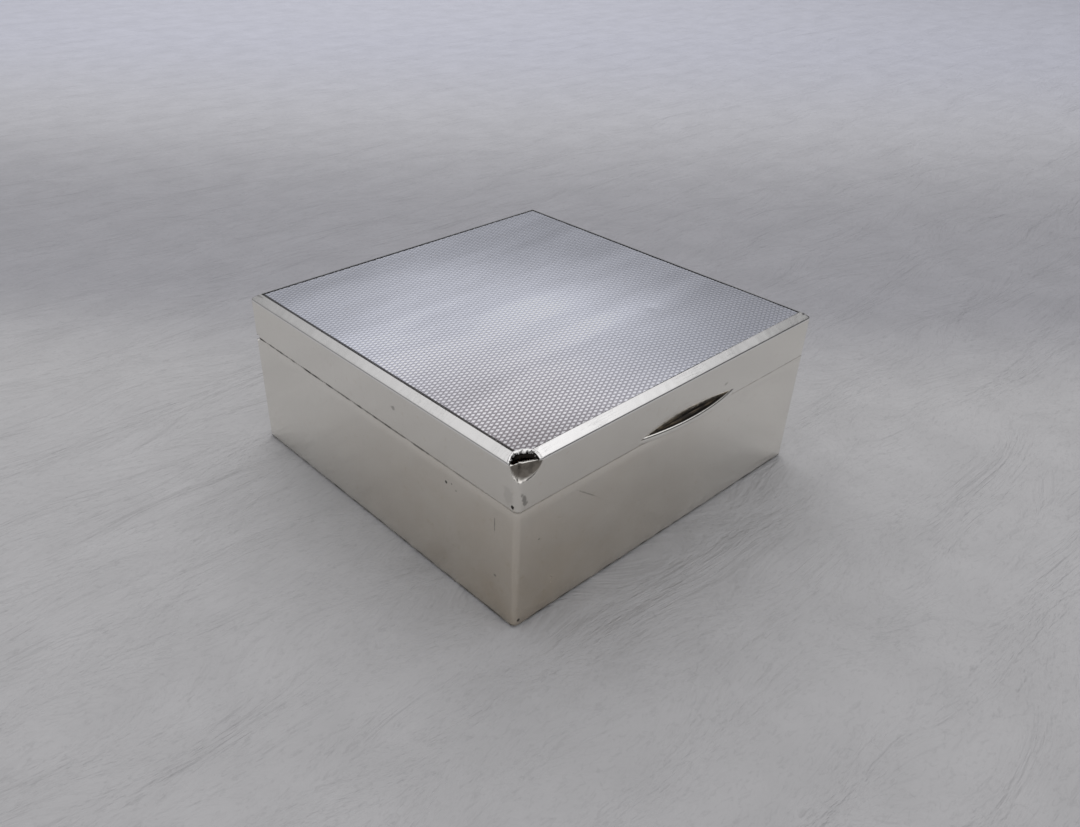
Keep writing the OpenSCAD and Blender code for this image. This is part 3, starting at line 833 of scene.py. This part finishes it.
def lip_section(lip):
    """The lip's section as (distance in from its front, share of its height, hollow or not)."""
    nose = [(lip.nose * (1 - math.sin(t)), 0.5 - 0.5 * math.cos(t), 0) for t in
            (math.pi * i / 12 for i in range(13))]
    hollow = lip.hollow / (LIP_HIGH.z - LIP_LOW.z)
    pan = [(lip.nose + (lip.reach + 0.1 * MM - lip.nose) * i / 10, 1 - hollow * math.sin(math.pi * i / 10), 1)
           for i in range(1, 11)]
    return nose + pan + [(lip.reach + 0.1 * MM, 0, 0)]


def crescent_lip(lip, material):
    """The thumb lip: its section swept round a wide ring and trimmed by the lid's front."""
    half = (LIP_HIGH.x - LIP_LOW.x) / 2
    middle = (LIP_HIGH.x + LIP_LOW.x) / 2
    radius = (half * half + lip.reach * lip.reach) / (2 * lip.reach)
    section = lip_section(lip)
    points = []
    hollow_shade_marks = []
    for i in range(lip.columns + 1):
        x = -half * math.cos(math.pi * i / lip.columns)
        for inward, share_up, hollow in section:
            ring = radius - inward
            out = math.sqrt(max(ring * ring - x * x, 0)) - (radius - lip.reach)
            points.append((middle + x, -HALF - max(out, -0.1 * MM), LIP_LOW.z + share_up * (LIP_HIGH.z - LIP_LOW.z)))
            # The hollow flag marks where the painted shade goes
            hollow_shade_marks.append(hollow)
    piece = new_piece(
        "crescent_lip", points, ring_faces(lip.columns + 1, len(section), False), material, "lid", "thumb_lip",
        marks={"hollow": hollow_shade_marks},
    )
    return piece


def corner_offset(point):
    """A place counted from the lid's broken top corner: right, back and up."""
    return point - Vector((-HALF, -HALF, TOP))


def corner_at(place):
    """The place that a damage setting counts right, forward and down from the broken corner."""
    return Vector((place[0] - HALF, -place[1] - HALF, TOP - place[2]))


def along_walls(offset):
    """How far a place lies right of the corner along the two walls."""
    return offset.x - offset.y


def inside_dent(damage, offset):
    """How far a place on the walls lies inside the dent's outline, from 0 on it to 1."""
    if max(offset.x, offset.y) > damage.dent_middle + damage.dent_reach:
        return -1
    along = (along_walls(offset) - damage.dent_middle) / damage.dent_reach
    down = offset.z / damage.dent_height
    return 1 - abs(along) ** 2.4 - abs(down) ** 2.4


def crushed(damage, point):
    """How far the blow drove a point of the walls inwards: two flat lobes that meet in a crease."""
    offset = corner_offset(point)
    inside = inside_dent(damage, offset)
    if inside <= 0:
        return Vector()
    push = Vector((0.69, 0.72, -0.05)).normalized()
    along = along_walls(offset)
    end = damage.dent_middle + math.copysign(damage.dent_reach, along)
    rolled = min(1, inside / 0.7)
    rolled = rolled * rolled * (3 - 2 * rolled)
    from_fold = math.hypot(along, 0.5 * MM)
    travel = damage.dent_depth * max(0, 1 - from_fold / abs(end)) * rolled
    soft = 0.15 * MM
    travel = math.sqrt(travel * travel + soft * soft) - soft
    deep = min(1, travel / (0.8 * MM))
    low_down = min(1, max(0, -offset.z / (2 * MM) - 0.6))
    travel += deep * low_down * damage.crease * math.exp(-((along / (0.3 * MM)) ** 2))
    travel += deep * 0.12 * MM * noise.noise(point / (0.8 * MM))
    return push * travel


def border_section(sheet):
    """The border's section as (depth, height): slope, rounded edge, wall, underside and ledge."""
    slope = sheet.border_slope
    edge = sheet.border_edge
    shoulder = TOP - edge / math.cos(slope) - math.tan(slope) * (sheet.border_width - edge)
    ledge_top = PANEL_LOW.z
    ledge_under = ledge_top - sheet.border_sheet
    foot = shoulder - 0.05 * MM
    arc = [180 - (90 - math.degrees(slope)) * i / 6 for i in range(7)]
    rounded = [
        (edge + edge * math.cos(math.radians(a)), shoulder + edge * math.sin(math.radians(a))) for a in arc
    ]
    crest = sheet.border_width
    run = [rounded[-1][0] + (crest - 0.06 * MM - rounded[-1][0]) * i / 6 for i in range(1, 7)]
    sloping = [(d, TOP - (crest - d) * math.tan(slope)) for d in run]
    lip = [(crest - 0.02 * MM, TOP - 0.01 * MM), (crest, TOP - 0.04 * MM)]
    wall = [(crest, TOP - (TOP - ledge_top) * i / 3) for i in (1, 2, 3)]
    shelf = [(crest + (sheet.ledge - crest) * i / 8, ledge_top) for i in range(1, 9)]
    under = [(sheet.ledge, ledge_under), (PLATE, ledge_under), (PLATE, foot)]
    return [(0, foot)] + rounded + sloping + lip + wall + shelf + under


def lid_border(sheet, damage, material):
    """The sloping border with its ledge, one ring round the lid, bitten at the broken corner."""
    section = border_section(sheet)
    points = []
    black = []
    rings = 0
    for turn in (FRONT, RIGHT, BACK, LEFT):
        for column in side_columns(sheet, turn == FRONT, turn == LEFT):
            rings += 1
            for depth, height in section:
                point = turned(on_side(sheet, column, depth, height), turn)
                if PLATE > depth or height > PANEL_LOW.z:
                    point.z -= 0.4 * wave(sheet, point)
                point = driven_in(damage, sheet, depth, point)
                points.append(point)
                in_groove = depth >= sheet.border_width and point.z < TOP - 0.15 * MM
                black.append(min(1, (TOP - point.z) / (0.5 * MM)) if in_groove else 0)
    faces = ring_faces(rings, len(section), True)
    piece = new_piece(
        "lid_border_sheet", points, faces, material, "lid", "lid_border", marks={"groove": black}
    )
    bite_out(piece, damage)
    points, faces, black = torn_rim(sheet, damage)
    whole = bmesh.new()
    whole.from_mesh(piece.data)
    groove = whole.verts.layers.float["groove"]
    hole = corner_at(damage.bite)
    for vertex in whole.verts:
        # Painted shade: the border's edge round the hole is coloured black
        if (vertex.co - hole).length < cut_radius(damage) + 0.02 * MM:
            vertex[groove] = 1
    corners = []
    for point, blackness in zip(points, black):
        corners.append(whole.verts.new(point))
        corners[-1][groove] = blackness
    rim = [whole.faces.new([corners[k] for k in face]) for face in faces]
    bmesh.ops.recalc_face_normals(whole, faces=rim)
    whole.to_mesh(piece.data)
    whole.free()
    shade(piece.data, 40)
    return piece


def border_height(sheet, depth):
    """Height of the border's upper face at a depth in from the lid's walls."""
    slope = sheet.border_slope
    edge = sheet.border_edge
    if depth > sheet.border_width:
        return TOP
    if depth > edge * (1 - math.sin(slope)):
        return TOP - (sheet.border_width - depth) * math.tan(slope)
    shoulder = TOP - edge / math.cos(slope) - math.tan(slope) * (sheet.border_width - edge)
    return shoulder + math.sqrt(max(0, edge * edge - (edge - depth) ** 2))


def driven_in(damage, sheet, depth, point):
    """A point of the border after the blow: its outer edge follows the crushed walls a little way."""
    if depth >= sheet.border_width:
        return point
    pull = crushed(damage, point)
    pull.z = 0
    longest = 0.6 * MM
    return point + pull * min(1, longest / max(pull.length, longest)) * (1 - depth / sheet.border_width)


# The torn rim's section from its outer edge to its torn edge and back underneath:
# (share of the rim's width out from the hole, height over the border in mm, blackness of painted shade on the torn
# edge and underside)
RIM_SECTION = (
    (1.0, -0.25, 0.0), (0.97, 0.02, 0.0), (0.8, 0.08, 0.0), (0.55, 0.05, 0.0), (0.3, -0.12, 0.15),
    (0.0, -0.42, 0.5), (0.05, -0.55, 1.0), (0.35, -0.36, 1.0), (0.8, -0.3, 1.0),
)


def torn_rim(sheet, damage):
    """The bent rim round the hole, from the front wall round to the left one."""
    steps = 96
    points = []
    black = []
    for i in range(steps + 1):
        for share_out, rise, blackness in RIM_SECTION:
            radius = damage.bite_radius + share_out * damage.rim_width
            turn = i / steps * math.acos(-damage.bite[0] / radius)
            spot = Vector((radius * math.cos(turn), radius * math.sin(turn), 0))
            jag = noise.noise(spot / (0.5 * MM)) + 0.7 * noise.noise(spot / (0.22 * MM))
            radius += damage.bite_jag * jag * max(0, 1 - 2 * share_out)
            right = damage.bite[0] + radius * math.cos(turn)
            back = radius * math.sin(turn)
            clear = 0.12 * MM
            right = max(clear, right)
            back = max(clear, back)
            depth = min(right, back)
            bumps = 0.05 * MM * noise.noise(spot / (0.9 * MM))
            height = min(TOP - 0.01 * MM, border_height(sheet, depth) + rise * MM + bumps)
            points.append(driven_in(damage, sheet, depth, Vector((right - HALF, back - HALF, height))))
            black.append(blackness)
    return points, ring_faces(steps + 1, len(RIM_SECTION), False), black


def cut_with(piece, cutter_mesh):
    """Takes a closed shape out of a piece."""
    cutter = bpy.data.objects.new("cutter", cutter_mesh)
    bpy.context.scene.collection.objects.link(cutter)
    cut = piece.modifiers.new("cut", "BOOLEAN")
    cut.operation = "DIFFERENCE"
    cut.solver = "EXACT"
    cut.object = cutter
    graph = bpy.context.evaluated_depsgraph_get()
    mesh = bpy.data.meshes.new_from_object(piece.evaluated_get(graph))
    piece.modifiers.clear()
    piece.data = mesh
    bpy.data.objects.remove(cutter)
    shade(mesh, 30)


def barrel_slot():
    """The round slot along the back edge in which the hinge barrel turns."""
    mesh = bpy.data.meshes.new("barrel_slot")
    bar = bmesh.new()
    clear = 0.1 * MM
    centre = (PIN_LOW + PIN_HIGH) / 2
    radius = BARREL_HIGH.y - centre.y + clear
    lie_along_x = Matrix.Rotation(math.radians(90), 4, "Y")
    bmesh.ops.create_cone(
        bar, cap_ends=True, segments=48, radius1=radius, radius2=radius, depth=2 * HALF + 2 * MM,
        matrix=Matrix.Translation((0, centre.y, centre.z)) @ lie_along_x,
    )
    bar.to_mesh(mesh)
    bar.free()
    return mesh


def cut_radius(damage):
    """Radius of the hole in the border itself, whose edge lies hidden under the torn rim."""
    return damage.bite_radius + 0.4 * damage.rim_width


def bite_out(piece, damage):
    """Cuts the hole, a little wider than the torn rim's inner edge."""
    cutter_mesh = bpy.data.meshes.new("bite")
    ball = bmesh.new()
    bmesh.ops.create_icosphere(
        ball, subdivisions=5, radius=cut_radius(damage), matrix=Matrix.Translation(corner_at(damage.bite)),
    )
    ball.to_mesh(cutter_mesh)
    ball.free()
    cut_with(piece, cutter_mesh)


def crushed_strips(material):
    """The packing strips, short of the corner where the blow reached them."""
    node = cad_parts["lid_packing_strips"]
    points = [node.matrix_world @ vertex.co for vertex in node.data.vertices]
    faces = [tuple(face.vertices) for face in node.data.polygons]
    piece = new_piece(
        "crushed_strips", points, faces, material, "lid", "lid_packing_strips"
    )
    cutter_mesh = bpy.data.meshes.new("corner_block")
    block = bmesh.new()
    size = 20 * MM
    middle_z = (PANEL_LOW.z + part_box("lid_packing_strips")[0].z) / 2
    bmesh.ops.create_cube(block, size=size, matrix=Matrix.Translation((-HALF, -HALF, middle_z)))
    block.to_mesh(cutter_mesh)
    block.free()
    cut_with(piece, cutter_mesh)


def panel_waves(turning, x, y):
    """The lid panel's broad waves and its one knock, as a height under its true face."""
    spot = Vector((x * 0.7 + y * 0.25, y, 0)) / turning.wave_length
    height = turning.wave * (noise.noise(spot) - 1)
    knock = math.hypot(x - turning.knock[0], y - turning.knock[1]) / (1.5 * MM)
    return height - 0.05 * MM * math.exp(-knock * knock)


def tucked(damage, x, y, z):
    """A point of the grains, tucked under the rim where it would reach the hole."""
    centre = corner_at(damage.bite)
    away = math.hypot(x - centre.x, y - centre.y)
    rim = damage.bite_radius + damage.rim_width
    if away >= rim:
        return x, y, z, 0
    pull = max(away, damage.bite_radius + 0.2 * MM) / max(away, 0.1 * MM)
    under = min(1, (rim - away) / (0.25 * MM))
    return centre.x + (x - centre.x) * pull, centre.y + (y - centre.y) * pull, z - 0.6 * MM * under, under


# A grain's rings from its cut outline to its round worn top, as shares of its length, width and height
GRAIN_RINGS = ((1, 1, 0), (0.70, 0.82, 0.5), (0.42, 0.62, 0.86), (0.18, 0.30, 1))


def turned_panel(turning, damage):
    """The lid panel: rows of barleycorn grains between crossing wavy cuts, each a raised dome."""
    pitch = turning.grain_length
    row = turning.grain_width / 2
    half = PANEL_HIGH.x
    face = TOP - 0.12 * MM
    bite = corner_at(damage.bite)
    keep_out = damage.bite_radius + 0.35 * MM
    quarter = [(t / 3, 0.5 - 0.5 * math.cos(math.pi * t / 3)) for t in range(3)]
    outline = []
    for t, w in quarter:
        outline.append((-1 + t, -w))
    for t, w in quarter:
        outline.append((t, -1 + w))
    for t, w in quarter:
        outline.append((1 - t, w))
    for t, w in quarter:
        outline.append((-t, 1 - w))
    points = []
    faces = []
    cuts = []
    rows = int(half * (1 + turning.slope) / row) + 3
    across = int(2 * half / pitch) + 6
    for j in range(-rows, rows + 1):
        shift = (j % 2) * 0.5 + j * turning.drift
        shift -= math.floor(shift)
        for i in range(-across // 2 - 1, across // 2 + 2):
            middle_x = (i + shift) * pitch
            middle_y = j * row + turning.slope * middle_x
            if abs(middle_x) > half + pitch or abs(middle_y) > half + row:
                continue
            if math.hypot(middle_x - bite.x, middle_y - bite.y) < keep_out:
                continue
            start = len(points)
            slant = turning.drift * pitch / row
            from_corner = math.hypot(middle_x + half, middle_y + half)
            rise = turning.grain_height * (1 - 0.6 * min(1, from_corner / (1.5 * half)))
            for long, wide, level in GRAIN_RINGS:
                for u, v in outline:
                    x = middle_x + long * u * pitch / 2 + wide * v * slant * row
                    y = middle_y + wide * v * row + turning.slope * long * u * pitch / 2
                    z = face - rise * (1 - level) + panel_waves(turning, x, y)
                    x, y, z, under = tucked(damage, x, y, z)
                    points.append((x, y, z))
                    # Grains tucked under the torn rim are marked as cut bottoms, so they take painted shade
                    cuts.append(max(under, 1 - level))
            n = len(outline)
            for ring in range(len(GRAIN_RINGS) - 1):
                for k in range(n):
                    a = start + ring * n + k
                    b = start + ring * n + (k + 1) % n
                    faces.append((a, b, b + n, a + n))
            faces.append(tuple(range(start + (len(GRAIN_RINGS) - 1) * n, start + len(GRAIN_RINGS) * n)))
    return points, faces, cuts


def close_panel(mesh, half, floor):
    """Trims the field of grains to the panel and gives it sides and a back."""
    work = bmesh.new()
    work.from_mesh(mesh)
    bmesh.ops.remove_doubles(work, verts=work.verts, dist=0.01 * MM)
    for normal in ((1, 0, 0), (-1, 0, 0), (0, 1, 0), (0, -1, 0)):
        bmesh.ops.bisect_plane(
            work, geom=work.verts[:] + work.edges[:] + work.faces[:], dist=0.001 * MM,
            plane_co=Vector(normal) * half, plane_no=normal, clear_outer=True,
        )
    rim = [edge for edge in work.edges if edge.is_boundary]
    grown = bmesh.ops.extrude_edge_only(work, edges=rim)["geom"]
    bottom = [item for item in grown if isinstance(item, bmesh.types.BMVert)]
    for vertex in bottom:
        vertex.co.z = floor
    low_edges = [item for item in grown if isinstance(item, bmesh.types.BMEdge) and item.is_boundary]
    bmesh.ops.triangle_fill(work, use_beauty=False, edges=low_edges)
    bmesh.ops.recalc_face_normals(work, faces=work.faces)
    work.to_mesh(mesh)
    work.free()


class STAMPBOX_OT_camera(bpy.types.Operator):
    """Places the camera where the photograph was taken"""

    bl_idname = "stamp_box.camera"
    bl_label = "Camera"

    def execute(self, context):
        take_picture_camera(context.scene.stamp_box_camera)
        return {"FINISHED"}


class STAMPBOX_OT_stage(bpy.types.Operator):
    """Lays the pale floor and sets the soft studio light"""

    bl_idname = "stamp_box.stage"
    bl_label = "Floor and light"

    def execute(self, context):
        settings = context.scene.stamp_box_stage
        lit_world(settings)
        paper_floor(settings)
        soft_lamp(
            "back_window", (0.3, 0.55, 0.65), (0, 0, 0), settings.lamp_size, settings.lamp_power, (0.98, 0.98, 1.0)
        ).visible_glossy = False
        context.scene.view_settings.view_transform = "Standard"
        return {"FINISHED"}


class STAMPBOX_OT_silver(bpy.types.Operator):
    """Gives the silver pieces their worn polish, with painted shade, highlights and reflections"""

    bl_idname = "stamp_box.silver"
    bl_label = "Silver"

    def execute(self, context):
        settings = context.scene.stamp_box_silver
        effects = {
            "tarnish_and_dark_reflection": tarnish_and_dark_reflection_group(),
            "hairlines": hairline_group(),
            "pits": pit_group(),
            "painted_shade_line": painted_shade_line_group(),
            "spot": spot_group(),
        }
        sheet = silver_material("sheet_silver", settings, effects, marks=BASE_MARKS)[0]
        silver_material("lid_silver", settings, effects, least=0.03, most=0.3, marks=LID_MARKS)
        border_material(settings, effects)
        turned_material(settings, effects)
        hinge = [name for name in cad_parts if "hinge" in name]
        lip_material(settings, effects)
        finish_with(sheet, *hinge)
        for name in hinge:
            soften(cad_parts[name], 0.06 * MM)
        return {"FINISHED"}


class STAMPBOX_OT_wood(bpy.types.Operator):
    """Gives the linings, boards and leather their finishes"""

    bl_idname = "stamp_box.wood"
    bl_label = "Wood and leather"

    def execute(self, context):
        settings = context.scene.stamp_box_wood
        cedar = wood_material("old_cedar", tuple(settings.cedar_light), tuple(settings.cedar_dark))
        board = wood_material("dark_board", tuple(settings.board_light), tuple(settings.board_dark))
        cedar_nodes = [
            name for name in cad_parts
            if name.startswith(("lining", "divider")) or name in ("stamp_ramps", "lid_lining_board")
        ]
        finish_with(cedar, *cedar_nodes)
        finish_with(board, "base_board")
        crushed_strips(board)
        finish_with(leather_material(settings), "underside_leather")
        for name in cedar_nodes:
            soften(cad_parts[name], 0.15 * MM)
        return {"FINISHED"}


class STAMPBOX_OT_plates(bpy.types.Operator):
    """Makes the eight side plates of base and lid, with the crushed corner"""

    bl_idname = "stamp_box.plates"
    bl_label = "Side plates"

    def execute(self, context):
        sheet = context.scene.stamp_box_sheet
        damage = context.scene.stamp_box_damage
        base_silver = bpy.data.materials["sheet_silver"]
        lid_silver = bpy.data.materials["lid_silver"]
        lid_top = border_section(sheet)[0][1] + sheet.arris
        for side, turn in SIDES.items():
            low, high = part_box(f"base_{side}_plate")
            base = side_plate(f"base_{side}_plate", "base", turn, low.z, high.z, 12, sheet, base_silver)
            lid_low = LID_LOW.z if side == "back" else high.z + sheet.seam_gap
            lid = side_plate(f"lid_{side}_plate", "lid", turn, lid_low, lid_top, 36, sheet, lid_silver, damage)
            if side in ("left", "right"):
                cut_with(base, barrel_slot())
                cut_with(lid, barrel_slot())
        return {"FINISHED"}


class STAMPBOX_OT_border(bpy.types.Operator):
    """Makes the lid's sloping border and tears its corner"""

    bl_idname = "stamp_box.border"
    bl_label = "Lid border"

    def execute(self, context):
        scene = context.scene
        lid_border(scene.stamp_box_sheet, scene.stamp_box_damage, bpy.data.materials["border_silver"])
        return {"FINISHED"}


class STAMPBOX_OT_lip(bpy.types.Operator):
    """Makes the crescent thumb lip"""

    bl_idname = "stamp_box.lip"
    bl_label = "Thumb lip"

    def execute(self, context):
        crescent_lip(context.scene.stamp_box_lip, bpy.data.materials["lip_silver"])
        return {"FINISHED"}


class STAMPBOX_OT_turning(bpy.types.Operator):
    """Cuts the barleycorn grains of the lid panel"""

    bl_idname = "stamp_box.turning"
    bl_label = "Engine turning"

    def execute(self, context):
        scene = context.scene
        points, faces, cuts = turned_panel(scene.stamp_box_turning, scene.stamp_box_damage)
        mesh = bpy.data.meshes.new("barleycorn_panel")
        mesh.from_pydata(points, [], faces)
        mesh.attributes.new("cut", "FLOAT", "POINT").data.foreach_set("value", cuts)
        close_panel(mesh, PANEL_HIGH.x, PANEL_LOW.z)
        mesh.materials.append(bpy.data.materials["worn_turned_silver"])
        shade(mesh, 50)
        panel = bpy.data.objects.new("barleycorn_panel", mesh)
        context.scene.collection.objects.link(panel)
        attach(panel, "lid")
        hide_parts("engine_turned_panel")
        return {"FINISHED"}


class STAMPBOX_PT_sidebar(bpy.types.Panel):
    """Lists the steps that dress the stamp box"""

    bl_label = "Stamp box"
    bl_space_type = "VIEW_3D"
    bl_region_type = "UI"
    bl_category = "Stamp box"

    def draw(self, context):
        for operator in OPERATORS:
            self.layout.operator(operator.bl_idname)


OPERATORS = [
    STAMPBOX_OT_camera,
    STAMPBOX_OT_stage,
    STAMPBOX_OT_silver,
    STAMPBOX_OT_wood,
    STAMPBOX_OT_plates,
    STAMPBOX_OT_border,
    STAMPBOX_OT_lip,
    STAMPBOX_OT_turning,
]


def register():
    for settings in SETTINGS.values():
        bpy.utils.register_class(settings)
    for operator in OPERATORS:
        bpy.utils.register_class(operator)
    bpy.utils.register_class(STAMPBOX_PT_sidebar)
    for name, settings in SETTINGS.items():
        setattr(bpy.types.Scene, name, PointerProperty(type=settings))


def unregister():
    for name in SETTINGS:
        delattr(bpy.types.Scene, name)
    bpy.utils.unregister_class(STAMPBOX_PT_sidebar)
    for operator in reversed(OPERATORS):
        bpy.utils.unregister_class(operator)
    for settings in reversed(SETTINGS.values()):
        bpy.utils.unregister_class(settings)


def main():
    register()
    bpy.ops.stamp_box.camera()
    bpy.ops.stamp_box.stage()
    bpy.ops.stamp_box.silver()
    bpy.ops.stamp_box.wood()
    bpy.ops.stamp_box.plates()
    bpy.ops.stamp_box.border()
    bpy.ops.stamp_box.lip()
    bpy.ops.stamp_box.turning()


if __name__ == "__main__":
    main()
